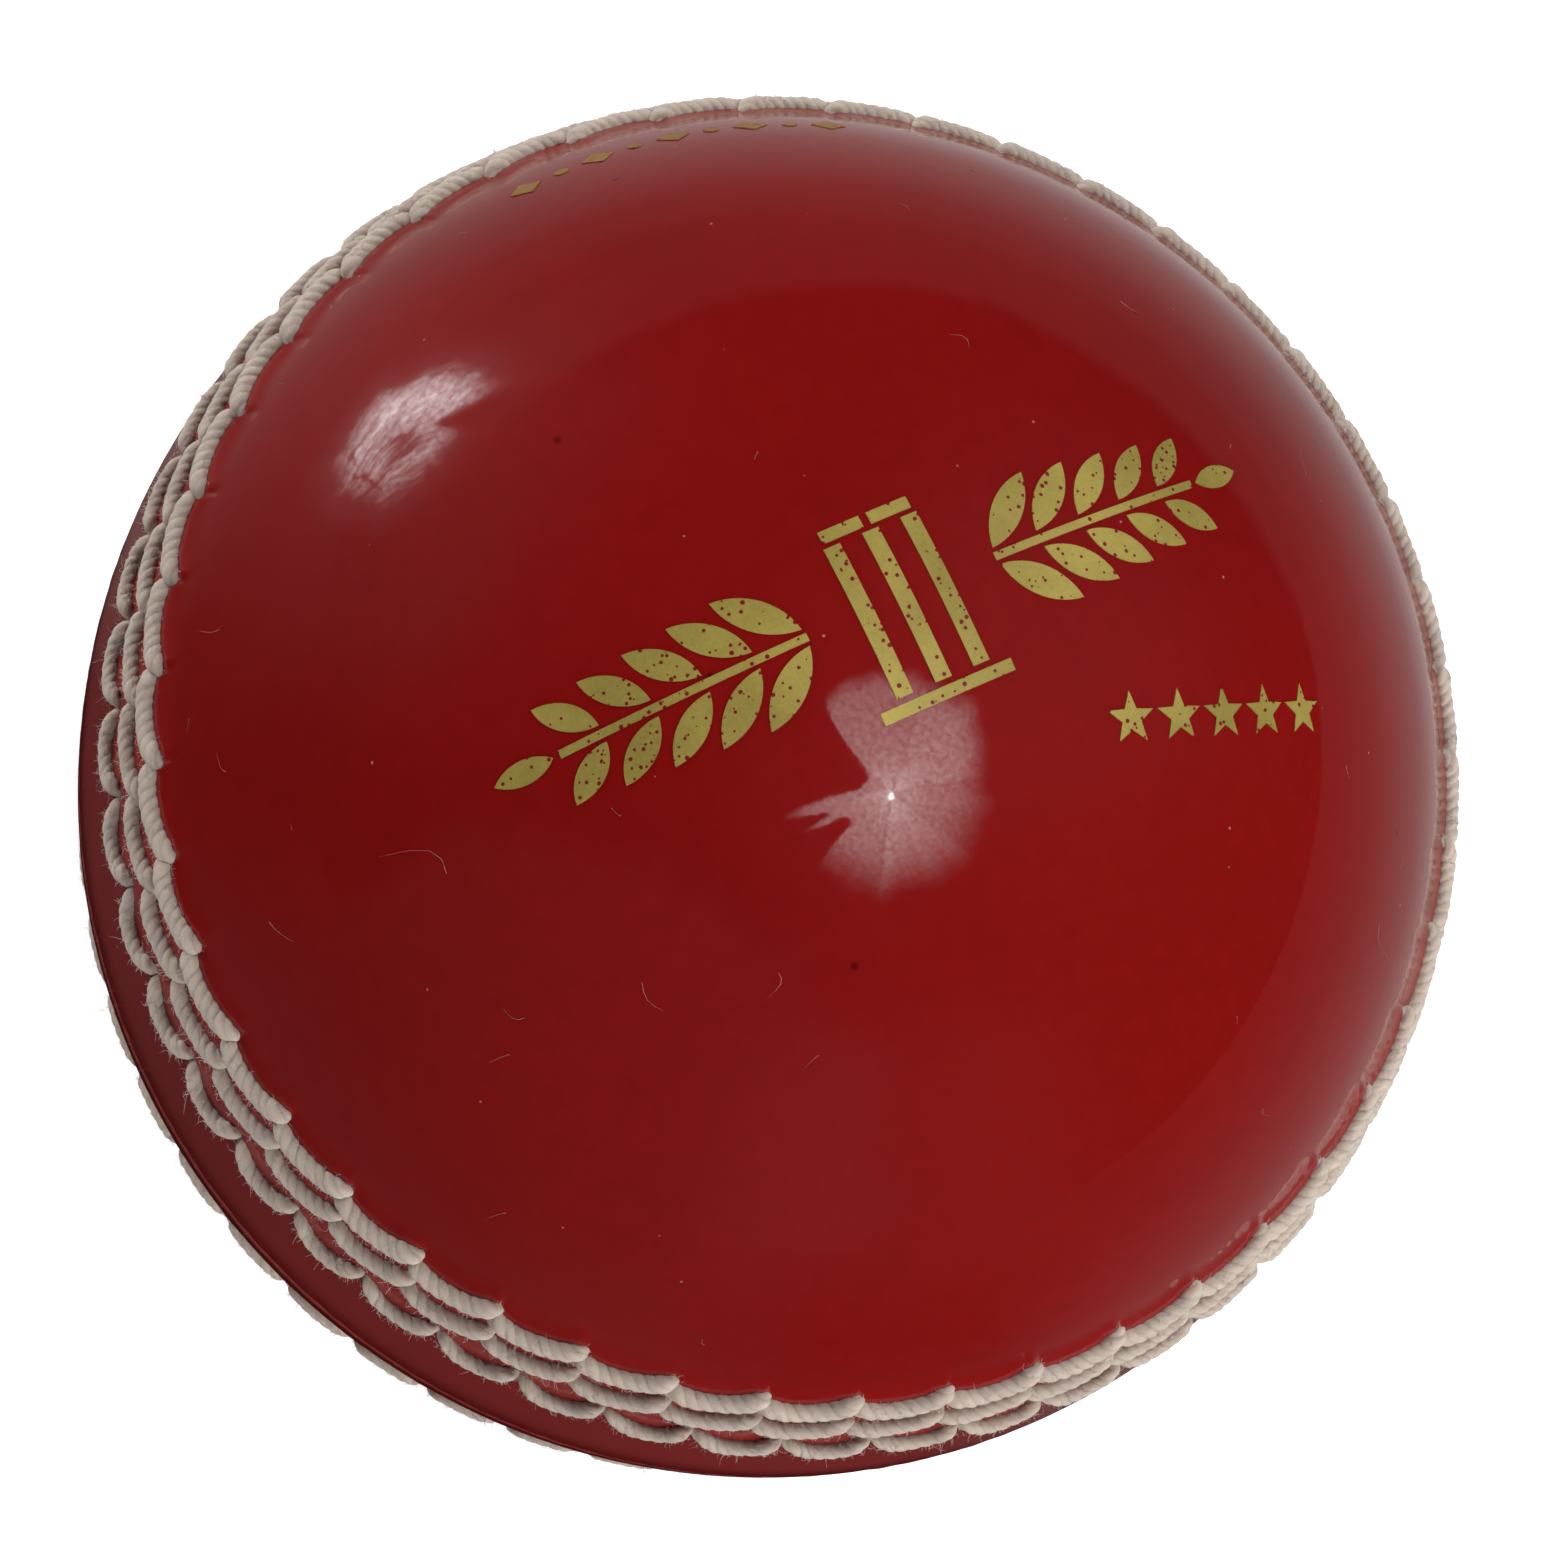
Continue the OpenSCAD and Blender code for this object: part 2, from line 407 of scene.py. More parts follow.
def cover_height(lat, lon, wave, seed):
    """Radius of a cup's outside in mm at latitudes and longitudes in degrees."""
    la, lo = np.radians(lat), np.radians(lon)
    x, y, z = np.cos(la) * np.cos(lo), np.cos(la) * np.sin(lo), np.sin(la)
    r = np.full(np.shape(lat), float(RADIUS))
    random = rng(seed)
    for size, share in ((2.3, 1.0), (3.7, 0.8), (6.1, 0.55), (9.5, 0.4), (15.0, 0.22)):
        for _ in range(3):
            way, phase = unit(random.normal(size=3)), random.uniform(0, math.tau)
            r += wave * share * np.sin(size * (way[0] * x + way[1] * y + way[2] * z) + phase)
    # the plain band is domed, and rises to a narrow lip with a rounded edge at the join
    height = z * RADIUS
    r += BAND_DOME * np.exp(-((height - BAND_MIDDLE) / BAND_WIDTH) ** 2)
    r += LIP_RISE * np.exp(-(height / LIP_WIDTH) ** 2)
    for waves in (61, 97, 134, 171):
        r += 0.008 * np.sin(waves * lo + random.uniform(0, math.tau)) * np.exp(-height ** 2)
    r -= 0.10 * np.exp(-((height / 0.20) ** 2))
    # the leather is drawn up against the thread, with dents at the holes
    near = np.zeros(np.shape(lat))
    for row in ROWS:
        near = np.maximum(near, row.drawn * beside_thread(row, lat, lon))
    r += near
    for row in ROWS:
        past, hole_lat = hole_place(row)
        pitch = 360.0 / row.count
        steps = (lon - row.first - past) / pitch
        n = np.round(steps).astype(int)
        across = (steps - n) * pitch * math.pi / 180 * RADIUS * np.cos(la)
        up = (lat - hole_lat) * math.pi / 180 * RADIUS
        vary = random.uniform(0.75, 1.3, row.count)[n % row.count]
        r -= HOLE_DENT * vary * np.exp(-(across ** 2 + (up - 0.05) ** 2) / 0.12)
    return r


def on_ball(lat, lon, r):
    la, lo = np.radians(lat), np.radians(lon)
    return np.stack([r * np.cos(la) * np.cos(lo), r * np.cos(la) * np.sin(lo),
                     r * np.sin(la)], -1)


# Rings of points on a cup: from and to latitudes, step, and the share of the columns they have.
ZONES = ((0.0, 2.4, 0.16, 1), (2.4, 10.4, 0.8, 1), (10.4, 26.4, 0.32, 1),
         (26.4, 32.0, 0.7, 1), (32.0, 50.0, 1.0, 2), (50.0, 70.0, 1.25, 4),
         (70.0, 82.0, 1.5, 8), (82.0, 87.0, 1.25, 16), (87.0, 89.6, 0.65, 32))
NUDGE = 0.02  # step over which the slope of the cover is taken, degrees
NEAR_POLE = 89.99  # the pole itself has no slope, degrees


def ring_at(lat, count):
    return np.full(count, float(lat)), np.arange(count) * 360.0 / count


def cover_cup(name, material, side, settings):
    columns, seed = settings.columns, COVER_SEED if side > 0 else COVER_SEED + 12
    wave = settings.wave / MM

    def outside(lat, lon):
        return on_ball(lat, lon, cover_height(lat, lon, wave, seed))

    outer, outer_normals = [], []
    for low, high, step, share in ZONES:
        for ring_lat in np.arange(low, high - step * 0.5, step):
            lat, lon = ring_at(ring_lat, columns // share)
            outer.append(outside(lat, lon))
            east = outside(lat, lon + NUDGE) - outside(lat, lon - NUDGE)
            north = (outside(np.minimum(lat + NUDGE, NEAR_POLE), lon)
                     - outside(np.maximum(lat - NUDGE, 0), lon))
            outer_normals.append(unit(np.cross(east, north)))
    pole = float(cover_height(np.array([NEAR_POLE]), np.array([0.0]), wave, seed)[0])
    # the rim and the inside of the wall
    inner, inner_normals = [], []
    for k, share in enumerate((2, 4, 8)):
        lat, lon = ring_at(0.0, columns // share)
        reach = np.linalg.norm(outer[0][::share], axis=1)
        inner.append(on_ball(lat, lon, reach + (CENTRE_RADIUS - reach) * (k + 1) / 3))
        inner_normals.append(np.tile((0.0, 0.0, -1.0), (len(lon), 1)))
    for ring_lat in np.arange(3.0, 88.0, 3.0):
        lat, lon = ring_at(ring_lat, columns // 8)
        inner.append(on_ball(lat, lon, np.full(len(lon), CENTRE_RADIUS)))
        inner_normals.append(-unit(inner[-1]))
    # one chain of rings, from the middle of the inside over the rim to the pole
    chain = inner[::-1] + outer
    sizes = [len(ring) for ring in chain]
    starts = np.concatenate([[0], np.cumsum(sizes)])
    quads, tris = [], []
    for k in range(len(chain) - 1):
        q, t = ring_faces(starts[k], sizes[k], starts[k + 1], sizes[k + 1])
        quads.append(q) if len(q) else tris.append(t)
    first, last = np.arange(sizes[0]), starts[-2] + np.arange(sizes[-1])
    tris.append(np.stack([last, np.roll(last, -1), np.full(len(last), starts[-1])], 1))
    tris.append(np.stack([np.roll(first, -1), first, np.full(len(first), starts[-1] + 1)], 1))
    points = np.concatenate(chain + [[(0, 0, pole), (0, 0, CENTRE_RADIUS)]])
    normals = np.concatenate(inner_normals[::-1] + outer_normals + [[(0, 0, 1.0), (0, 0, -1.0)]])
    if side < 0:
        points, normals = turn_over(points), turn_over(normals)
    return solid(name, points, [np.concatenate(quads), np.concatenate(tris)], material,
                 normals)


def leather_material(settings):
    """Dyed smooth leather under clear lacquer, with dust, pits and lint."""
    mat, tree, skin = new_material("lacquered_leather")
    here = place_in_mm(tree)
    dye = np.array(settings.dye)
    cloud = noise(tree, here, 0.055, 3.0, 0.5)
    fine = noise(tree, here, 0.9, 5.0, 0.6)
    base = ramp(tree, cloud, ((0.30, dye * 0.86), (0.52, dye), (0.72, dye * 1.16)))
    base = mix_colour(tree, 0.5, base, ramp(tree, fine, ((0.3, dye * 0.90), (0.7, dye * 1.08))))
    # dark pits and pale dust specks, each one only here and there
    pits = dots(tree, here, 0.16)
    pit = fade(tree, pits.outputs["Distance"], (0.018, 1.0), (0.040, 0.0))
    base = mix_colour(tree, pit, base, dye * 0.45)
    specks = dots(tree, place_in_mm(tree, turn=(0.4, 0.9, 0.2)), 0.50)
    speck = fade(tree, specks.outputs["Distance"], (0.026, 1.0), (0.046, 0.0))
    chance = split_colour(tree, specks.outputs["Color"])
    rare = maths(tree, "GREATER_THAN", chance["Red"], 0.66)
    speck = times(tree, speck, times(tree, rare, 0.55))
    base = mix_colour(tree, speck, base, (0.50, 0.27, 0.24))
    # a bloom of dust and fluff lies beside the thread, and the join shows pale wear with a painted
    # highlight line along its crest
    coords = tree.nodes.new("ShaderNodeTexCoord")
    parts = tree.nodes.new("ShaderNodeSeparateXYZ")
    tree.links.new(coords.outputs["Object"], parts.inputs["Vector"])
    off_join = maths(tree, "ABSOLUTE", times(tree, parts.outputs["Z"], 1 / MM))
    fluff = noise(tree, here, 2.4, 6.0, 0.7)
    bloom = fade(tree, times(tree, off_join, 0.05), (0.375, 0.0), (0.43, 0.45),
                 (0.50, 0.90), (0.64, 0.95), (0.70, 0.0))
    dusty = times(tree, bloom, fade(tree, fluff, (0.38, 0.04), (0.66, 0.36)))
    base = mix_colour(tree, dusty, base, (0.38, 0.13, 0.12))
    # pale wear along the join, partly a painted highlight line on the crest of the lip
    join_wear_and_crest_highlight = fade(tree, plus(tree, times(tree, off_join, 1.1),
                           times(tree, fluff, 0.9)), (0.50, 0.30), (0.86, 0.0))
    base = mix_colour(tree, join_wear_and_crest_highlight, base, (0.40, 0.14, 0.12))
    rough = fade(tree, fine, (0.3, 0.30), (0.7, 0.40))
    paint(tree, skin, base, mix_colour(tree, dusty, rough, grey(0.75)))
    skin.inputs["Specular IOR Level"].default_value = 0.05
    skin.inputs["Coat Weight"].default_value = 1.0
    skin.inputs["Coat Roughness"].default_value = settings.gloss
    skin.inputs["Coat IOR"].default_value = 1.5
    ripple = noise(tree, here, 0.75, 2.0, 0.5)
    grain = noise(tree, here, 7.0, 2.0, 0.5)
    height = plus(tree, ripple, times(tree, grain, 0.05))
    height = minus(tree, height, times(tree, pit, 0.8))
    bump(tree, skin, height, 0.012)
    bump(tree, skin, height, 0.004, socket="Coat Normal")
    return mat


class BALL_OT_cover(bpy.types.Operator):
    """Build the two cover cups with their lips, troughs and stitch dents"""

    bl_idname = "ball.cover"
    bl_label = "Cover cups"

    def execute(self, context):
        settings = context.scene.ball_cover
        leather = leather_material(settings)
        for side, word in ((1, "upper"), (-1, "lower")):
            cup = cover_cup(word + "_cover_leather", leather, side, settings)
            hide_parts(word + "_cover")
        return {"FINISHED"}


# ---------------------------------------------------------------- threads


def smooth_path(points, count):
    """Points evenly spaced along a smooth curve through the given ones."""
    p = np.asarray(points, float)
    p = np.vstack([2 * p[0] - p[1], p, 2 * p[-1] - p[-2]])
    fine = []
    for i in range(len(p) - 3):
        a, b, c, d = p[i:i + 4]
        t = np.linspace(0, 1, 14, endpoint=False)[:, None]
        fine.append(0.5 * (2 * b + (c - a) * t + (2 * a - 5 * b + 4 * c - d) * t ** 2
                           + (3 * b - a - 3 * c + d) * t ** 3))
    fine = np.vstack(fine + [p[-2][None]])
    run = np.concatenate([[0], np.cumsum(np.linalg.norm(np.diff(fine, axis=0), axis=1))])
    even = np.linspace(0, run[-1], count)
    return np.stack([np.interp(even, run, fine[:, k]) for k in range(3)], 1), even


def stitch_path(row, random):
    """Middle line of one stitch in its own axes: outwards, along, to the pole."""
    half, sag, t = chord(row) / 2, row.sag, row.thread
    wide = sag * row.bend * random.uniform(0.85, 1.15)
    sway = random.normal(0, 0.035)
    lift = random.normal(0, 0.02)
    g = row.gap

    def at(x, y, z):
        return (x - y * y / (2 * RADIUS), y, z)

    body = [at(0.03 + lift, half * q + sway, wide * (q * q - 1) + sag * 0.22)
            for q in (-0.62, -0.3, 0.0, 0.3, 0.62)]
    start = [at(-1.15 * t, -half - 0.42 + g, sag / 3 + 0.16),
             at(-0.50 * t, -half - 0.38 + g, sag / 3 + 0.14),
             at(-0.04 * t, -half - 0.06 + g, sag / 3 + 0.05)]
    end = [at(0.06, half - 0.12 - g * 0.5, sag / 3 - 0.02),
           at(-0.16 * t, half + 0.24 - g, sag / 3 + 0.03),
           at(-0.75 * t, half + 0.38 - g, sag / 3 + 0.07),
           at(-1.40 * t, half + 0.39 - g, sag / 3 + 0.07)]
    return np.array(start + body + end)


def ply_section(plies, around, depth):
    """Radius of the thread's outline, as a share of its own radius, at each angle."""
    per = around // plies
    angle = np.arange(around) / around * math.tau
    ply, off = 0.545, 0.455
    turn = (np.arange(around) % per) / per * math.tau / plies - math.pi / plies
    radius = off * np.cos(turn) + np.sqrt(np.maximum(ply ** 2 - (off * np.sin(turn)) ** 2, 0))
    return angle, 1.0 - (1.0 - radius) * depth


def thread_row(name, row, side, material, settings, seed):
    random = rng(seed)
    sections, around = 46, settings.plies * 6
    angle, outline = ply_section(settings.plies, around, settings.groove)
    low, high = outline.min(), outline.max()
    groove = (outline - low) / (high - low)
    points, faces, caps, grooves, runs, turns = [], [], [], [], [], []
    i = np.arange(sections - 1)[:, None] * around
    j = np.arange(around)[None]
    k = (j + 1) % around
    tube = np.stack([i + j, i + k, i + around + k, i + around + j], -1).reshape(-1, 4)
    cap = np.stack([np.arange(1, around - 1)], 1)
    fan = np.concatenate([np.zeros_like(cap), cap + 1, cap], 1)
    tail_fan = fan[:, ::-1] + (sections - 1) * around
    total_run = random.uniform(0, 100)
    for n in range(row.count):
        origin, axes = stitch_axes(row, n)
        path, run = smooth_path(stitch_path(row, random), sections)
        tangent = unit(np.gradient(path, axis=0))
        side_way = unit(np.cross(tangent, np.tile((0.0, 0.0, 1.0), (sections, 1))))
        up_way = unit(np.cross(side_way, tangent))
        thick = row.thread / 2 * row.plump * random.uniform(0.96, 1.04)
        ends = np.minimum(run, run[-1] - run)
        swell = 1.0 - 0.22 * np.exp(-(ends / 0.5) ** 2)
        swell *= 1.0 - 0.20 * np.exp(-((run[-1] - run - row.thread) / 0.45) ** 2)
        if row.gap > 0.1:
            swell *= 1.0 - 0.16 * np.exp(-((ends - 0.8) / 0.55) ** 2)
        plump = 1.0 + 0.03 * np.sin(run * 2.1 + random.uniform(0, 6))
        twist = -(run + total_run) / (settings.lay / MM) * math.tau
        phi = angle[None] + twist[:, None] + random.normal(0, 0.1)
        reach = thick * outline[None] / high * (swell * plump)[:, None]
        ring = (path[:, None] + side_way[:, None] * (np.cos(phi) * reach)[..., None]
                + up_way[:, None] * (np.sin(phi) * reach)[..., None])
        ring[..., 0] = np.where(ring[..., 0] > 0, ring[..., 0] * 0.96, ring[..., 0])
        world = origin + ring.reshape(-1, 3) @ axes
        base = n * sections * around
        points.append(world)
        faces.append(tube + base)
        caps.append(np.concatenate([fan, tail_fan]) + base)
        grooves.append(np.tile(groove, sections))
        runs.append(np.repeat(run + total_run, around))
        turns.append(((phi - twist[:, None]) % math.tau).ravel())
        total_run += run[-1]
    points = np.concatenate(points)
    if side < 0:
        points = turn_over(points)
    piece = solid(name, points, [np.concatenate(faces), np.concatenate(caps)], material)
    point_attribute(piece.data, "groove", np.concatenate(grooves))
    point_attribute(piece.data, "run", np.concatenate(runs))
    point_attribute(piece.data, "turn", np.concatenate(turns))
    return piece


def hairs(name, roots, ways, lengths, material, thin, curl, seed, rise, joints=5):
    """Thin tapered curved fibres, three-sided, from roots along ways, in mm.

    Thin is the radius at the root, curl is how much they bend, and no fibre sinks below rise.
    """
    random = rng(seed)
    count = len(roots)
    roots, ways = np.asarray(roots, float), unit(ways)
    bend = random.normal(size=(count, 3)) * curl
    second = random.normal(size=(count, 3)) * curl
    t = np.linspace(0, 1, joints)
    path = (roots[:, None] + ways[:, None] * (lengths[:, None] * t)[..., None]
            + bend[:, None] * (lengths[:, None] * t ** 2)[..., None]
            + second[:, None] * (lengths[:, None] * np.sin(t * math.pi))[..., None] * 0.5)
    reach = np.linalg.norm(path, axis=2, keepdims=True)
    path = path / reach * np.maximum(reach, rise)
    tangent = unit(np.gradient(path, axis=1))
    helper = unit(np.cross(tangent, np.array((0.31, 0.57, 0.76))))
    other = np.cross(tangent, helper)
    width = thin * (1.0 - 0.75 * t)
    rings = []
    for a in (0.0, math.tau / 3, 2 * math.tau / 3):
        rings.append(path + (helper * math.cos(a) + other * math.sin(a)) * width[None, :, None])
    points = np.stack(rings, 2).reshape(-1, 3)
    per = joints * 3
    base = (np.arange(count) * per)[:, None, None]
    i = (np.arange(joints - 1) * 3)[None, :, None]
    j = np.arange(3)[None, None]
    k = (j + 1) % 3
    quads = np.stack([base + i + j, base + i + k, base + i + 3 + k, base + i + 3 + j],
                     -1).reshape(-1, 4)
    first = (np.arange(count) * per)[:, None] + np.array([[2, 1, 0]])
    final = (np.arange(count) * per)[:, None] + np.array([[per - 3, per - 2, per - 1]])
    return solid(name, points, [quads, np.concatenate([first, final])], material)


def thread_material(settings):
    """Waxed cotton thread: pale plies, with painted shade darkening the creases between them."""
    mat, tree, skin = new_material("twisted_thread")
    cream = np.array(settings.cream)

    def attribute(name):
        node = tree.nodes.new("ShaderNodeAttribute")
        node.attribute_name = name
        return node.outputs["Fac"]

    groove, run, turn = attribute("groove"), attribute("run"), attribute("turn")
    join = tree.nodes.new("ShaderNodeCombineXYZ")
    tree.links.new(times(tree, run, 1.2), join.inputs["X"])
    tree.links.new(times(tree, maths(tree, "SINE", turn), 3.4), join.inputs["Y"])
    tree.links.new(times(tree, maths(tree, "COSINE", turn), 3.4), join.inputs["Z"])
    strands = noise(tree, join.outputs["Vector"], 2.2, 5.0, 0.65)
    here = place_in_mm(tree)
    patch = noise(tree, here, 0.5, 3.0, 0.5)
    base = ramp(tree, patch, ((0.3, cream * 0.90), (0.7, cream * 1.06)))
    base = mix_colour(tree, 0.45, base, ramp(tree, strands, ((0.3, cream * 0.84), (0.7, cream * 1.12))))
    # painted shade: the creases between the plies are darkened in the thread's colour
    crease_shade = fade(tree, groove, (0.0, 0.34), (0.32, 0.08), (0.6, 0.0))
    base = mix_colour(tree, crease_shade, base, cream * (0.62, 0.54, 0.48))
    soil = fade(tree, noise(tree, here, 1.7, 4.0, 0.6), (0.58, 0.0), (0.80, 0.40))
    base = mix_colour(tree, soil, base, (0.42, 0.27, 0.22))
    paint(tree, skin, base, fade(tree, strands, (0.2, 0.72), (0.8, 0.95)))
    skin.inputs["Subsurface Weight"].default_value = 0.5
    skin.inputs["Subsurface Radius"].default_value = (1.0, 0.8, 0.65)
    skin.inputs["Subsurface Scale"].default_value = 0.45 * MM
    skin.inputs["Sheen Weight"].default_value = 0.08
    skin.inputs["Sheen Roughness"].default_value = 0.5
    skin.inputs["Specular IOR Level"].default_value = 0.25
    bump(tree, skin, strands, 0.06, 0.9)
    return mat


def fibre_material(name, colour, spread):
    mat, tree, skin = new_material(name)
    colour = np.array(colour)
    tone = noise(tree, place_in_mm(tree), 1.1, 2.0, 0.5)
    base = ramp(tree, tone, ((0.3, colour * (1 - spread)), (0.7, colour * (1 + spread))))
    paint(tree, skin, base, fade(tree, tone, (0.0, 0.6), (1.0, 0.9)))
    bump(tree, skin, tone, 0.004)
    return mat


class BALL_OT_threads(bpy.types.Operator):
    """Lay the six rows of twisted thread, stitch by stitch"""

    bl_idname = "ball.threads"
    bl_label = "Thread rows"

    def execute(self, context):
        settings = context.scene.ball_thread
        material = thread_material(settings)
        for side, word in ((1, "upper"), (-1, "lower")):
            for k, row in enumerate(ROWS):
                name = f"{word}_{row.name}_thread"
                piece = thread_row(name, row, side, material, settings, 31 + k + 7 * side)
                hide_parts(f"{word}_{row.name}_stitches")
        return {"FINISHED"}


def fuzz_roots(row, per_stitch, random):
    """Starts and directions of loose fibres round the stitches of a row."""
    roots, ways, lengths = [], [], []
    for n in range(row.count):
        origin, axes = stitch_axes(row, n)
        path, _ = smooth_path(stitch_path(row, random), 40)
        picks = random.integers(6, 34, per_stitch)
        low_side = random.random(per_stitch) < 0.55
        angle = np.where(low_side, random.normal(-1.15, 0.45, per_stitch),
                         random.normal(1.1, 0.5, per_stitch))
        tangent = unit(np.gradient(path, axis=0))[picks]
        side_way = unit(np.cross(tangent, (0.0, 0.0, 1.0)))
        up_way = np.cross(side_way, tangent)
        out_sign = np.where(side_way[:, :1] < 0, -1.0, 1.0)
        way = side_way * out_sign * np.cos(angle)[:, None] + up_way * np.sin(angle)[:, None]
        local = path[picks] + way * row.thread * row.plump * 0.485
        lean = way + tangent * random.normal(0, 0.7, (per_stitch, 1))
        roots.append(origin + local @ axes)
        ways.append(lean @ axes)
        lengths.append(random.gamma(2.0, 0.046, per_stitch) + 0.06)
    return np.concatenate(roots), np.concatenate(ways), np.concatenate(lengths)


class BALL_OT_fibres(bpy.types.Operator):
    """Add the fuzz of the thread, the frayed edge of the join and a little lint"""

    bl_idname = "ball.fibres"
    bl_label = "Fuzz and lint"

    def execute(self, context):
        settings = context.scene.ball_thread
        fluff = fibre_material("thread_fluff", (0.66, 0.56, 0.52), 0.10)
        frayed = fibre_material("frayed_leather", (0.40, 0.17, 0.15), 0.25)
        lint = fibre_material("lint", (0.42, 0.26, 0.24), 0.3)
        for side, word in ((1, "upper"), (-1, "lower")):
            random = rng(71 + side)
            for k, row in enumerate(ROWS):
                roots, ways, lengths = fuzz_roots(row, settings.fuzz, random)
                if side < 0:
                    roots, ways = turn_over(roots), turn_over(ways)
                hairs(f"{word}_{row.name}_fuzz", roots, ways, lengths, fluff,
                      thin=0.015, curl=0.75, seed=81 + side + 4 * k, rise=RADIUS - 0.05, joints=4)
        random = rng(5)
        count = 200
        lon = random.uniform(0, math.tau, count)
        clump = np.sin(lon * 3 + 1.0) + 0.6 * np.sin(lon * 11) + random.normal(0, 0.5, count)
        lon = lon[clump > -0.2]
        count = len(lon)
        rim = RADIUS + LIP_RISE - 0.06
        roots = np.stack([rim * np.cos(lon), rim * np.sin(lon), random.normal(0, 0.16, count)], 1)
        out = roots * (1, 1, 0) / rim
        ways = out * 0.35 + random.normal(size=(count, 3)) * (0.5, 0.5, 0.9)
        hairs("join_fray", roots, ways, random.gamma(2.0, 0.16, count) + 0.1, frayed,
              thin=0.012, curl=0.6, seed=6, rise=rim)
        random = rng(9)
        count = 110
        way = unit(random.normal(size=(count, 3)))
        way = way[np.abs(way[:, 2]) > 0.42]
        roots = way * (RADIUS + 0.015)
        ways = np.cross(way, random.normal(size=way.shape))
        hairs("lint_specks", roots, ways, random.gamma(1.6, 0.34, len(way)) + 0.12, lint,
              thin=0.013, curl=0.5, seed=10, rise=RADIUS + 0.012)
        return {"FINISHED"}


# ---------------------------------------------------------------- foil ornaments


def leaf(length, width, steps=14):
    """Outline of a pointed leaf from the origin along +X."""
    r = (length * length / 4 + width * width / 4) / width
    half = math.asin(length / 2 / r)
    a = np.linspace(-half, half, steps)
    top = np.stack([length / 2 + r * np.sin(a), r * np.cos(a) - (r - width / 2)], 1)
    return np.concatenate([top, (top * (1, -1))[::-1][1:-1]])[::-1]


def bar(x, y, width, height):
    return np.array([(x, y), (x + width, y), (x + width, y + height), (x, y + height)], float)


def star(radius):
    a = np.radians(90 + 36 * np.arange(10))
    r = np.where(np.arange(10) % 2 == 0, radius, radius * 0.42)
    return np.stack([r * np.cos(a), r * np.sin(a)], 1)


def disc(radius, steps=20):
    a = np.arange(steps) / steps * math.tau
    return np.stack([radius * np.cos(a), radius * np.sin(a)], 1)


def spin(shape, degrees):
    c, s = math.cos(math.radians(degrees)), math.sin(math.radians(degrees))
    return shape @ np.array(((c, s), (-s, c)))


def laurel_shapes():
    """Three stumps and two bails between two laurel branches."""
    branch = [bar(4.9, -0.2, 11.9, 0.4), leaf(2.7, 1.15) + (17.1, 0)]
    for i in range(5):
        for side in (-1, 1):
            branch.append(spin(leaf(4.3 - i * 0.32, 1.5 - i * 0.06), side * 42)
                          + (5.0 + i * 2.45, side * 0.42))
    shapes = branch + [(s * (-1, 1))[::-1] for s in branch]
    shapes += [bar(x - 0.42, -4.3, 0.84, 7.7) for x in (-2.0, 0.0, 2.0)]
    shapes += [bar(x, 3.65, 2.1, 0.6) for x in (-2.3, 0.2)]
    shapes.append(bar(-3.4, -5.2, 6.8, 0.6))
    return shapes


def turned(*steps):
    m = Matrix.Identity(3)
    for axis, degrees in steps:
        m = m @ Matrix.Rotation(math.radians(degrees), 3, axis)
    return np.array(m)


FOIL_STEP = 0.7  # widest facet of the foil, mm
FOIL_SUNK = 0.03  # how far the foil goes into the cover, mm


def foil_piece(name, patches, material, wave, rise):
    """Thin gold solids that follow the cover; each patch is a shape, shift and frame."""
    build = bmesh.new()
    patch_faces = build.faces.layers.int.new("patch")
    for k, (shape, _, _) in enumerate(patches):
        face = build.faces.new([build.verts.new((x, y, 0.0)) for x, y in shape])
        face[patch_faces] = k
        face.normal_update()
    bmesh.ops.triangulate(build, faces=build.faces[:], ngon_method="EAR_CLIP")
    box = np.array([v.co[:2] for v in build.verts])
    for axis, way in ((0, Vector((1, 0, 0))), (1, Vector((0, 1, 0)))):
        for cut in np.arange(box[:, axis].min() + FOIL_STEP, box[:, axis].max(), FOIL_STEP):
            bmesh.ops.bisect_plane(build, geom=build.verts[:] + build.edges[:] + build.faces[:],
                                   dist=1e-5, plane_co=way * cut, plane_no=way)
    build.verts.index_update()
    flat = np.array([v.co[:] for v in build.verts])
    patch_of = np.zeros(len(flat), int)
    for f in build.faces:
        for v in f.verts:
            patch_of[v.index] = f[patch_faces]
        if f.normal.z < 0:
            f.normal_flip()
    faces = [[v.index for v in f.verts] for f in build.faces]
    edges = [(loop.vert.index, loop.link_loop_next.vert.index) for loop in
             (e.link_loops[0] for e in build.edges if len(e.link_faces) == 1)]
    build.free()
    _, shifts, frames = zip(*patches)
    spread = flat[:, :2] + np.array(shifts)[patch_of]
    way = np.concatenate([spread, np.sqrt(RADIUS ** 2 - (spread ** 2).sum(1))[:, None]], 1)
    way = unit(np.einsum("nij,nj->ni", np.array(frames)[patch_of], way))
    lat = np.degrees(np.arcsin(way[:, 2]))
    lon = np.degrees(np.arctan2(way[:, 1], way[:, 0]))
    ground = cover_height(lat, lon, wave, COVER_SEED)
    top = way * (ground + rise)[:, None]
    low = way * (ground - FOIL_SUNK)[:, None]
    n = len(top)
    by_size = {}
    for f in (faces + [[i + n for i in reversed(f)] for f in faces]
              + [[b, a, a + n, b + n] for a, b in edges]):
        by_size.setdefault(len(f), []).append(f)
    piece = solid(name, np.concatenate([top, low]), list(by_size.values()), material)
    piece.data.set_sharp_from_angle(angle=math.radians(35))
    return piece


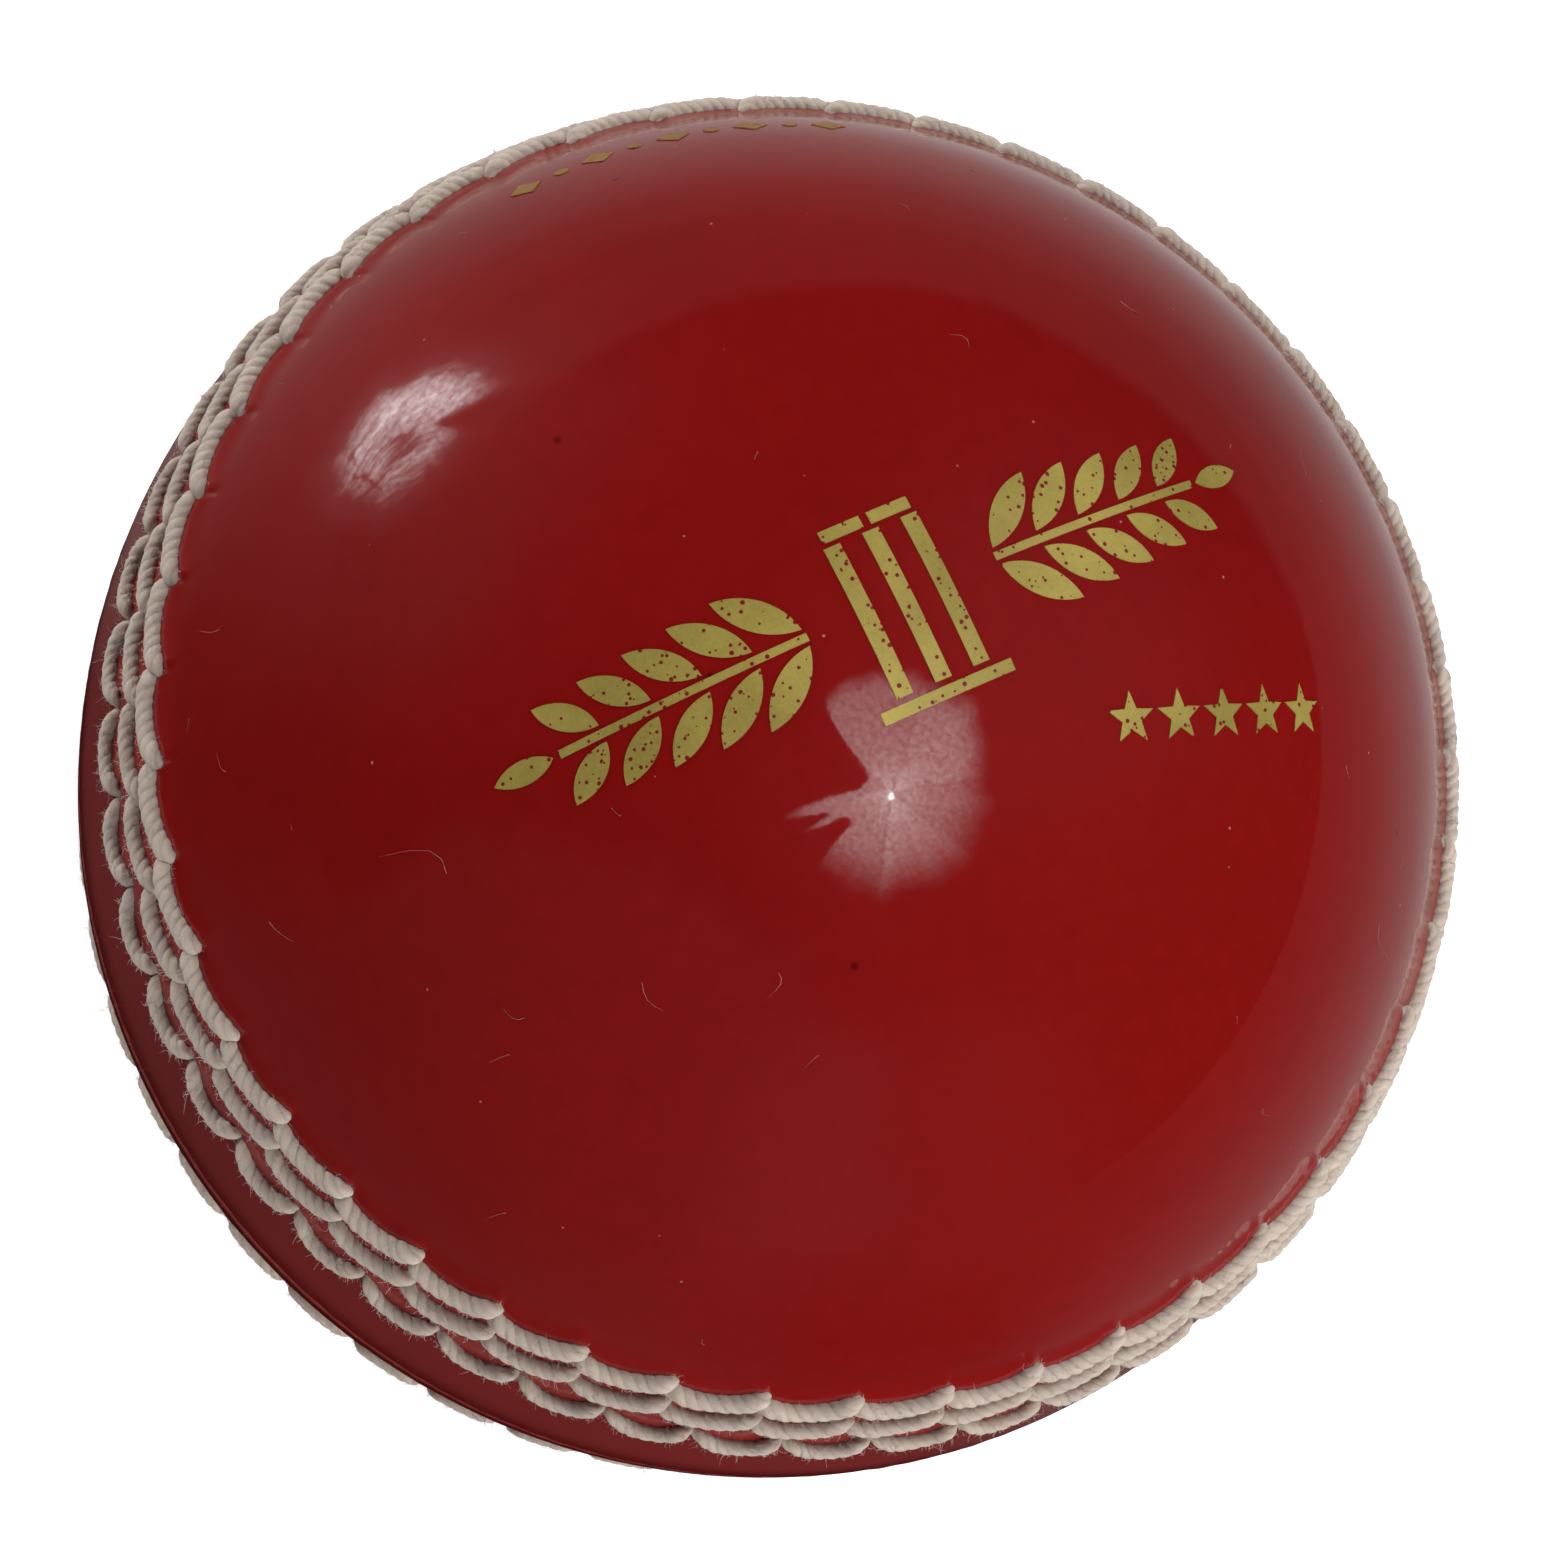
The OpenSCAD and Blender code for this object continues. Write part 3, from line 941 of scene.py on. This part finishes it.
def foil_material(name, settings, dye, wear):
    """Hot-stamped foil, satin, with pinholes and rubbed places that let the red show."""
    mat, tree, skin = new_material(name)
    gold = np.array(settings.gold)
    here = place_in_mm(tree)
    tone = noise(tree, here, 0.14, 4.0, 0.6)
    fine = noise(tree, here, 6.0, 4.0, 0.6)
    base = ramp(tree, tone, ((0.36, gold * 0.66), (0.64, gold * 1.12)))
    base = mix_colour(tree, 0.35, base, ramp(tree, fine, ((0.3, gold * 0.66), (0.7, gold * 1.16))))
    holes = dots(tree, here, 3.0)
    chance = split_colour(tree, holes.outputs["Color"])
    where = plus(tree, times(tree, tone, 1.7), chance["Red"])
    open_here = maths(tree, "LESS_THAN", where, 1.46)
    size = times(tree, chance["Green"], 0.20)
    inside = maths(tree, "LESS_THAN", holes.outputs["Distance"], plus(tree, size, 0.15))
    pinhole = times(tree, inside, open_here)
    rubbed = times(tree, wear, fade(tree, fine, (0.45, 1.0), (0.68, 0.5)))
    bare = maths(tree, "MAXIMUM", pinhole, rubbed)
    base = mix_colour(tree, bare, base, np.array(dye) * 0.75)
    paint(tree, skin, base, fade(tree, fine, (0.3, 0.36), (0.7, 0.48)))
    tree.links.new(minus(tree, 0.30, times(tree, bare, 0.30)), skin.inputs["Metallic"])
    height = minus(tree, times(tree, fine, 0.4), pinhole)
    bump(tree, skin, height, 0.015)
    return mat


class BALL_OT_foil(bpy.types.Operator):
    """Stamp the gold ornaments on the upper cup"""

    bl_idname = "ball.foil"
    bl_label = "Gold ornaments"

    def execute(self, context):
        scene = context.scene
        settings, cover = scene.ball_foil, scene.ball_cover
        gold = foil_material("gold_foil", settings, cover.dye, 0.0)
        rubbed = foil_material("rubbed_foil", settings, cover.dye, 0.65)
        wave, rise = cover.wave / MM, settings.rise / MM
        across_pole = turned(("Z", 70.4))
        laurel = [(s, (-0.2, 2.1), across_pole) for s in laurel_shapes()]
        beside = turned(("Z", 34.1), ("Y", 24.3), ("Z", 19.5))
        stars = [(star(1.3), (0.8 + 2.75 * i, 0.4), beside) for i in range(-2, 3)]
        arc = []
        for i in range(9):
            at = turned(("Z", 151 + (i - 4) * 3.8), ("Y", -31.2), ("Y", 90))
            shape = spin(bar(-0.625, -0.625, 1.25, 1.25), 45) if i % 2 == 0 else disc(0.4)
            arc.append((shape, (0.0, 0.0), at))
        for name, patches, foil in (("laurel_foil", laurel, gold), ("star_foil", stars, gold),
                                    ("worn_foil", arc, rubbed)):
            piece = foil_piece(name + "_gold", patches, foil, wave, rise)
            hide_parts(name)
        return {"FINISHED"}


# ---------------------------------------------------------------- the centre


def cork_material():
    mat, tree, skin = new_material("pressed_cork")
    here = place_in_mm(tree)
    cells = dots(tree, here, 0.75)
    chance = split_colour(tree, cells.outputs["Color"])
    grains = ramp(tree, chance["Red"], (
        (0.0, (0.24, 0.115, 0.048)), (0.4, (0.40, 0.215, 0.092)), (1.0, (0.55, 0.33, 0.16))))
    edge = fade(tree, cells.outputs["Distance"], (0.25, 0.0), (0.62, 0.55))
    base = mix_colour(tree, edge, grains, (0.13, 0.06, 0.028))
    fine = noise(tree, here, 5.0, 5.0, 0.6)
    base = mix_colour(tree, 0.35, base, ramp(tree, fine, (
        (0.3, (0.20, 0.10, 0.045)), (0.7, (0.56, 0.36, 0.18)))))
    paint(tree, skin, base, fade(tree, fine, (0.2, 0.75), (0.8, 0.95)))
    height = minus(tree, times(tree, fine, 0.5), cells.outputs["Distance"])
    bump(tree, skin, height, 0.18)
    return mat


def yarn_material():
    mat, tree, skin = new_material("wound_yarn")
    turns = []
    for turn in ((0.3, 0.2, 0.1), (1.2, 0.7, 0.4), (0.5, 1.9, 1.1)):
        wave = tree.nodes.new("ShaderNodeTexWave")
        wave.inputs["Scale"].default_value = 0.30
        wave.inputs["Distortion"].default_value = 1.6
        wave.inputs["Detail"].default_value = 2.0
        tree.links.new(place_in_mm(tree, turn=turn), wave.inputs["Vector"])
        turns.append(wave.outputs["Fac"])
    here = place_in_mm(tree)
    which = noise(tree, here, 0.10, 1.0, 0.5)
    first = mix_colour(tree, fade(tree, which, (0.44, 0), (0.46, 1)), turns[0], turns[1])
    strands = mix_colour(tree, fade(tree, which, (0.55, 0), (0.57, 1)), first, turns[2])
    fibre = noise(tree, here, 3.0, 6.0, 0.7)
    base = ramp(tree, strands, ((0.0, (0.26, 0.21, 0.14)), (0.35, (0.55, 0.47, 0.33)),
                                (1.0, (0.72, 0.64, 0.48))))
    base = mix_colour(tree, 0.3, base, ramp(tree, fibre, (
        (0.3, (0.38, 0.31, 0.21)), (0.7, (0.80, 0.72, 0.56)))))
    paint(tree, skin, base, fade(tree, fibre, (0.2, 0.8), (0.8, 0.98)))
    skin.inputs["Sheen Weight"].default_value = 0.4
    height = plus(tree, strands, times(tree, fibre, 0.3))
    bump(tree, skin, height, 0.35)
    return mat


def core_material():
    mat, tree, skin = new_material("rubber_and_cork_core")
    here = place_in_mm(tree)
    crumbs = dots(tree, here, 0.55)
    inside = fade(tree, crumbs.outputs["Distance"], (0.30, 1.0), (0.36, 0.0))
    fine = noise(tree, here, 4.0, 5.0, 0.6)
    rubber = ramp(tree, fine, ((0.3, (0.022, 0.018, 0.016)), (0.7, (0.05, 0.04, 0.034))))
    cork = ramp(tree, fine, ((0.3, (0.20, 0.10, 0.045)), (0.7, (0.42, 0.24, 0.11))))
    paint(tree, skin, mix_colour(tree, inside, rubber, cork),
          fade(tree, fine, (0.2, 0.55), (0.8, 0.85)))
    bump(tree, skin, plus(tree, fine, inside), 0.08)
    return mat


class BALL_OT_centre(bpy.types.Operator):
    """Give the core, the cork cups and the windings their materials"""

    bl_idname = "ball.centre"
    bl_label = "Cork and yarn centre"

    def execute(self, context):
        finishes = {"core": core_material(), "cork": cork_material(), "winding": yarn_material()}
        for name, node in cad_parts.items():
            for word, material in finishes.items():
                if word in name:
                    node.data.materials.clear()
                    node.data.materials.append(material)
        return {"FINISHED"}


# ---------------------------------------------------------------- stage


CAMERA_TILT = 16.9  # degrees off the pole of the upper cup
CAMERA_ROLL = 46.0  # degrees
LENS_SHIFT = (0.0093, 0.0103)
FLOOR_HALF = 3.0  # half the width of the floor, m
BOX_DISTANCE = 0.60  # from the centre of the ball to a soft box, m
BOX_SIZE = 0.55  # width of a soft box, m
SOFT_BOXES = (  # name, azimuth and elevation as the lens sees them, and power in watts
    ("right_softbox", 30, 35, 3.45), ("front_softbox", 290, 24, 4.35),
    ("left_softbox", 138, 8, 4.6))
LIGHT_CARD_STEPS = 260  # points along one side of a light card


def camera_axes():
    """Right, up and back of the camera: it looks down on the upper cup from one side."""
    tilt, roll = math.radians(CAMERA_TILT), math.radians(CAMERA_ROLL)
    back = Vector((0.0, -math.sin(tilt), math.cos(tilt)))
    to_pole = Vector((0.0, math.cos(tilt), math.sin(tilt)))
    level = Vector((1.0, 0.0, 0.0))
    right = level * math.cos(roll) + to_pole * math.sin(roll)
    up = to_pole * math.cos(roll) - level * math.sin(roll)
    return right, up, back


def soft_box(name, toward, power):
    """A square lamp that faces the ball and isn't mirrored in it."""
    data = bpy.data.lights.new(name, "AREA")
    data.size = BOX_SIZE
    data.energy = power
    lamp = put_in_scene(name, data)
    lamp.location = toward * BOX_DISTANCE
    lamp.rotation_euler = toward.to_track_quat("Z", "Y").to_euler()
    lamp.visible_glossy = False


def floor_material(settings):
    """Matte pale floor, lifted by a little glow of its own so that shadows stay light."""
    mat, tree, skin = new_material("pale_floor")
    shade = np.array(settings.floor)
    tone = noise(tree, place_in_mm(tree), 0.02, 3.0, 0.5)
    paint(tree, skin, ramp(tree, tone, ((0.3, shade * 0.985), (0.7, shade))),
          fade(tree, tone, (0.0, 0.75), (1.0, 0.85)))
    skin.inputs["Specular IOR Level"].default_value = 0.1
    skin.inputs["Emission Color"].default_value = (1.0, 1.0, 1.0, 1.0)
    skin.inputs["Emission Strength"].default_value = settings.floor_glow
    return mat


def plane(name, half, height, material):
    mesh = bpy.data.meshes.new(name)
    corners = [(-half, -half, height), (half, -half, height), (half, half, height),
               (-half, half, height)]
    mesh.from_pydata(corners, [], [(0, 1, 2, 3)])
    mesh.materials.append(material)
    piece = put_in_scene(name, mesh)
    return piece


def vector_maths(tree, operation, vector, other=(0, 0, 0)):
    node = tree.nodes.new("ShaderNodeVectorMath")
    node.operation = operation
    tree.links.new(vector, node.inputs[0])
    node.inputs[1].default_value = other
    return node.outputs["Vector" if operation == "MULTIPLY" else "Value"]


def dot_with(tree, vector, way):
    return vector_maths(tree, "DOT_PRODUCT", vector, way)


def table_glow():
    """What the ball mirrors of the table: brightest close by, on the side away from the lens."""
    mat, tree, light = new_material("table_glow", "ShaderNodeEmission")
    coords = tree.nodes.new("ShaderNodeTexCoord")
    flat = vector_maths(tree, "MULTIPLY", coords.outputs["Object"], (1.0, 1.0, 0.0))
    far = vector_maths(tree, "LENGTH", flat)
    some_way = plus(tree, far, 0.001)
    side = maths(tree, "DIVIDE", dot_with(tree, flat, (-0.07, 0.99, 0.0)), some_way)
    side = plus(tree, times(tree, side, 0.5), 0.5)
    turned_up = fade(tree, side, (0.30, 0.0), (0.50, 0.50), (0.85, 1.0))
    bright = fade(tree, far, (0.03, 0.56), (0.065, 0.44), (0.10, 0.28), (0.22, 0.15), (0.60, 0.10))
    near_lens = fade(tree, far, (0.04, 0.045), (0.08, 0.075), (0.40, 0.060))
    at_left = fade(tree, far, (0.04, 0.045), (0.075, 0.08), (0.11, 0.015), (0.40, 0.010))
    to_lens = maths(tree, "DIVIDE", dot_with(tree, flat, (0.1, -0.99, 0.0)), some_way)
    dark = mix_colour(tree, fade(tree, to_lens, (0.66, 0.0), (0.88, 1.0)), at_left, near_lens)
    glow = mix_colour(tree, turned_up, dark, bright)
    # close to the ball only the far side glows, so that the plain band keeps its red
    close = fade(tree, far, (0.043, 0.12), (0.060, 1.0))
    beyond = fade(tree, side, (0.62, 0.0), (0.80, 1.0))
    close = mix_colour(tree, beyond, close, grey(1.0))
    glow = mix_colour(tree, 1.0, glow, close, "MULTIPLY")
    tree.links.new(mix_colour(tree, 1.0, glow, (1.12, 0.99, 0.97), "MULTIPLY"), light.inputs["Color"])
    return mat


def smooth(x):
    x = np.clip(x, 0, 1)
    return x * x * (3 - 2 * x)


def apart(angle, middle):
    """Angle between two directions in degrees, always positive."""
    return np.abs((angle - middle + 180) % 360 - 180)


def rough_round(a, b, size, lobes, random, rough):
    """Share of the way from the middle to the edge of a rough round with lobes and notches.

    A lobe is its direction, half width, scale of the edge there, and sharpness.
    """
    angle = np.degrees(np.arctan2(b, a))
    edge = np.full(a.shape, float(size))
    for k in (3, 5, 8, 13, 21):
        edge *= 1 + rough / math.sqrt(k) * np.sin(np.radians(k * angle) + random.uniform(0, 6.3))
    notch = np.zeros(a.shape)
    for middle, half, scale, sharp in lobes:
        here = np.exp(-(apart(angle, middle) / half) ** sharp)
        edge *= 1 + (scale - 1) * here
        if scale < 1:
            notch = np.maximum(notch, here)
    return np.hypot(a, b) / edge, angle, notch


def folded_sheet(a, b):
    """Glow of the sheet overhead: flat facets round a focus, with a dark bay on one side."""
    random = rng(8)
    reach, angle, notch = rough_round(a, b, 150, ((207, 30, 0.24, 6), (262, 9, 0.40, 4),
                                                  (247, 4, 0.55, 4)), random, 0.07)
    soft = 0.42 + 0.24 * np.cos(np.radians(angle + 20)) - 0.55 * notch
    body = 1.05 - 0.45 * reach
    folds = ((55.0, 0.30), (10.0, -0.22), (-48.0, 0.26), (118.0, -0.20))
    for fold, step in folds:
        past = (angle - fold) % 360
        body += step * smooth(past / 3.0) * np.exp(-past / 42.0)
        off = apart(angle, fold) * np.hypot(a, b) * math.pi / 180
        body -= 0.42 * np.exp(-(off / 1.5) ** 2) * smooth(1.1 - reach)
    body += 0.55 * np.exp(-((reach - 0.05) / 0.20) ** 2) + 0.4 * notch * np.exp(-reach)
    glow = np.clip(body, 0.1, 3) * smooth((1 - reach) / np.maximum(soft, 0.04))
    spot = np.exp(-((a - 3) ** 2 + (b + 4) ** 2) / 3.4 ** 2)
    return glow + 14 * spot


def crumpled_sheet(a, b):
    """Glow of the sheet at the side: streaks fanning out from one corner."""
    random = rng(3)
    reach, angle, _ = rough_round(a, b, 39, ((43, 16, 1.36, 2), (61, 13, 0.50, 3)),
                                      random, 0.08)
    fan = np.degrees(np.arctan2(b + 16, a + 58))
    out = np.hypot(b + 16, a + 58)
    streaks = np.zeros(a.shape)
    for k in (0.10, 0.17, 0.31, 0.56):
        sway = 2.2 * np.sin(out * 0.11 * (1 + k) + 9 * k) + 1.2 * np.sin(out * 0.27 + 5 * k)
        streaks += np.sin((fan + sway) * k * 3 + random.uniform(0, 6.3))
    body = 0.58 + 0.12 * streaks * (0.4 + np.exp(-out / 40)) + 0.26 * np.cos(np.radians(angle + 30))
    body -= 0.42 * np.exp(-(reach / 0.35) ** 2)
    for middle, where, half in ((340, 0.84, 45), (250, 0.62, 30), (190, 0.70, 25)):
        line = where + 0.05 * np.sin(np.radians(angle * 5))
        body -= 0.50 * (np.exp(-((reach - line) / 0.03) ** 2)
                        * np.exp(-(apart(angle, middle) / half) ** 4))
    haze = 0.035 * smooth((1.45 - reach) / 0.8)
    return np.clip(body, 0.04, 2) * smooth((1 - reach) / 0.60) + haze


def light_card(name, centre, axis_a, axis_b, half, glow_of, strength, mottle):
    """A sheet of light that only the ball's gloss mirrors; its glow is set point by point.

    Its centre and half width are in mm, and mottle is the scale of the noise over it.
    """
    steps = LIGHT_CARD_STEPS
    line = np.linspace(-half, half, steps)
    a, b = np.meshgrid(line, line)
    glow = glow_of(a, b)
    points = (np.array(centre, float) + a[..., None] * np.array(axis_a, float)
              + b[..., None] * np.array(axis_b, float)).reshape(-1, 3)
    i = np.arange(steps - 1)[:, None] * steps
    j = np.arange(steps - 1)[None]
    faces = np.stack([i + j, i + j + 1, i + steps + j + 1, i + steps + j], -1).reshape(-1, 4)
    mesh = bpy.data.meshes.new(name)
    mesh.from_pydata((points * MM).tolist(), [], faces.tolist())
    point_attribute(mesh, "glow", glow.ravel())
    mat, tree, light = new_material(name + "_light", "ShaderNodeEmission")
    attribute = tree.nodes.new("ShaderNodeAttribute")
    attribute.attribute_name = "glow"
    tone = fade(tree, noise(tree, place_in_mm(tree), mottle, 5.0, 0.65), (0.34, 0.35), (0.66, 1.0))
    tree.links.new(times(tree, attribute.outputs["Fac"], strength), light.inputs["Strength"])
    tree.links.new(tone, light.inputs["Color"])
    clear = tree.nodes.new("ShaderNodeBsdfTransparent")
    both = tree.nodes.new("ShaderNodeAddShader")
    tree.links.new(light.outputs[0], both.inputs[0])
    tree.links.new(clear.outputs[0], both.inputs[1])
    surface = next(n for n in tree.nodes if n.type == "OUTPUT_MATERIAL").inputs["Surface"]
    tree.links.new(both.outputs[0], surface)
    mesh.materials.append(mat)
    card = put_in_scene(name, mesh)
    for flag in ("visible_camera", "visible_diffuse", "visible_transmission",
                 "visible_shadow", "visible_volume_scatter"):
        setattr(card, flag, False)


def dim_room(scene):
    """A room that is dark in the lacquer, a little less so low down and behind the lens."""
    world = bpy.data.worlds.new("room")
    world.use_nodes = True
    scene.world = world
    tree = world.node_tree
    coords = tree.nodes.new("ShaderNodeTexCoord")
    way = coords.outputs["Generated"]
    uneven = times(tree, noise(tree, way, 2.6, 3.0, 0.5), 0.24)
    wall = plus(tree, dot_with(tree, way, (0.25, -0.94, 0.20)), uneven)
    shade = mix_colour(tree, fade(tree, wall, (0.80, 0.0), (0.88, 1.0)),
                       (0.006, 0.006, 0.006), (0.060, 0.060, 0.062))
    level = plus(tree, dot_with(tree, way, (0.20, 0.0, 1.0)), times(tree, uneven, 0.3))
    beyond = fade(tree, plus(tree, dot_with(tree, way, (0.0, 0.5, 0.0)), 0.5), (0.36, 0.0), (0.62, 1.0))
    low = mix_colour(tree, 1.0, fade(tree, level, (0.08, 1.0), (0.14, 0.0)), beyond, "MULTIPLY")
    shade = mix_colour(tree, low, shade, (0.10, 0.10, 0.102))
    # the room is seen pale, though it is mirrored and lit as a dark one
    seen = tree.nodes.new("ShaderNodeLightPath")
    shade = mix_colour(tree, seen.outputs["Is Camera Ray"], shade, (0.80, 0.80, 0.80))
    back = tree.nodes["Background"]
    tree.links.new(shade, back.inputs["Color"])


class BALL_OT_stage(bpy.types.Operator):
    """Set up the floor, the soft light and the camera"""

    bl_idname = "ball.stage"
    bl_label = "Stage"

    def execute(self, context):
        scene = context.scene
        settings = scene.ball_stage
        low = CAD_BOX[0][2]
        floor = plane("floor", FLOOR_HALF, low, floor_material(settings))
        floor.visible_glossy = floor.visible_diffuse = False
        mirrored = plane("mirrored_table", FLOOR_HALF, low - 0.05 * MM, table_glow())
        mirrored.visible_camera = mirrored.visible_shadow = False
        mirrored.visible_diffuse = False

        right, up, back = camera_axes()
        lens = bpy.data.cameras.new("camera")
        lens.lens, lens.sensor_width = settings.lens, 36.0
        lens.shift_x, lens.shift_y = LENS_SHIFT
        lens.clip_start, lens.clip_end = 0.01, 20.0
        camera = put_in_scene("camera", lens)
        turn = Matrix((right, up, back)).transposed().to_4x4()
        camera.matrix_world = Matrix.Translation(back * settings.distance) @ turn
        scene.camera = camera

        for name, azimuth, elevation, power in SOFT_BOXES:
            a, e = math.radians(azimuth), math.radians(elevation)
            toward = (right * math.cos(a) + up * math.sin(a)) * math.cos(e) + back * math.sin(e)
            soft_box(name, toward.normalized(), power)
        light_card("side_card", centre=(-200, -10, 22), axis_a=(0, 1, 0), axis_b=(0, 0, 1),
                   half=62, glow_of=crumpled_sheet, strength=12.5, mottle=0.30)
        light_card("top_card", centre=(106, -20, 450), axis_a=(1, 0, 0), axis_b=(0, 1, 0),
                   half=200, glow_of=folded_sheet, strength=5.6, mottle=0.16)
        dim_room(scene)
        scene.view_settings.view_transform = "Standard"
        scene.view_settings.look = "None"
        return {"FINISHED"}


class BALL_PT_pieces(bpy.types.Panel):
    """Lists the steps that build the ball, with their settings"""

    bl_idname = "BALL_PT_pieces"
    bl_label = "Cricket ball"
    bl_space_type = "VIEW_3D"
    bl_region_type = "UI"
    bl_category = "Ball"

    def draw(self, context):
        scene = context.scene
        for step, settings in (
            (BALL_OT_cover, scene.ball_cover), (BALL_OT_threads, scene.ball_thread),
            (BALL_OT_fibres, None), (BALL_OT_foil, scene.ball_foil),
            (BALL_OT_centre, None), (BALL_OT_stage, scene.ball_stage)):
            box = self.layout.box()
            box.operator(step.bl_idname, text=step.bl_label)
            for name in settings.__annotations__ if settings else ():
                box.prop(settings, name)


SETTINGS = {"ball_cover": CoverSettings, "ball_thread": ThreadSettings,
            "ball_foil": FoilSettings, "ball_stage": StageSettings}
STEPS = (BALL_OT_cover, BALL_OT_threads, BALL_OT_fibres, BALL_OT_foil, BALL_OT_centre,
         BALL_OT_stage)


def register():
    for cls in (*SETTINGS.values(), *STEPS, BALL_PT_pieces):
        bpy.utils.register_class(cls)
    for name, group in SETTINGS.items():
        setattr(bpy.types.Scene, name, PointerProperty(type=group))


def unregister():
    for name in SETTINGS:
        delattr(bpy.types.Scene, name)
    for cls in reversed((*SETTINGS.values(), *STEPS, BALL_PT_pieces)):
        bpy.utils.unregister_class(cls)


def main():
    register()
    bpy.ops.ball.cover()
    bpy.ops.ball.threads()
    bpy.ops.ball.fibres()
    bpy.ops.ball.foil()
    bpy.ops.ball.centre()
    bpy.ops.ball.stage()


if __name__ == "__main__":
    main()
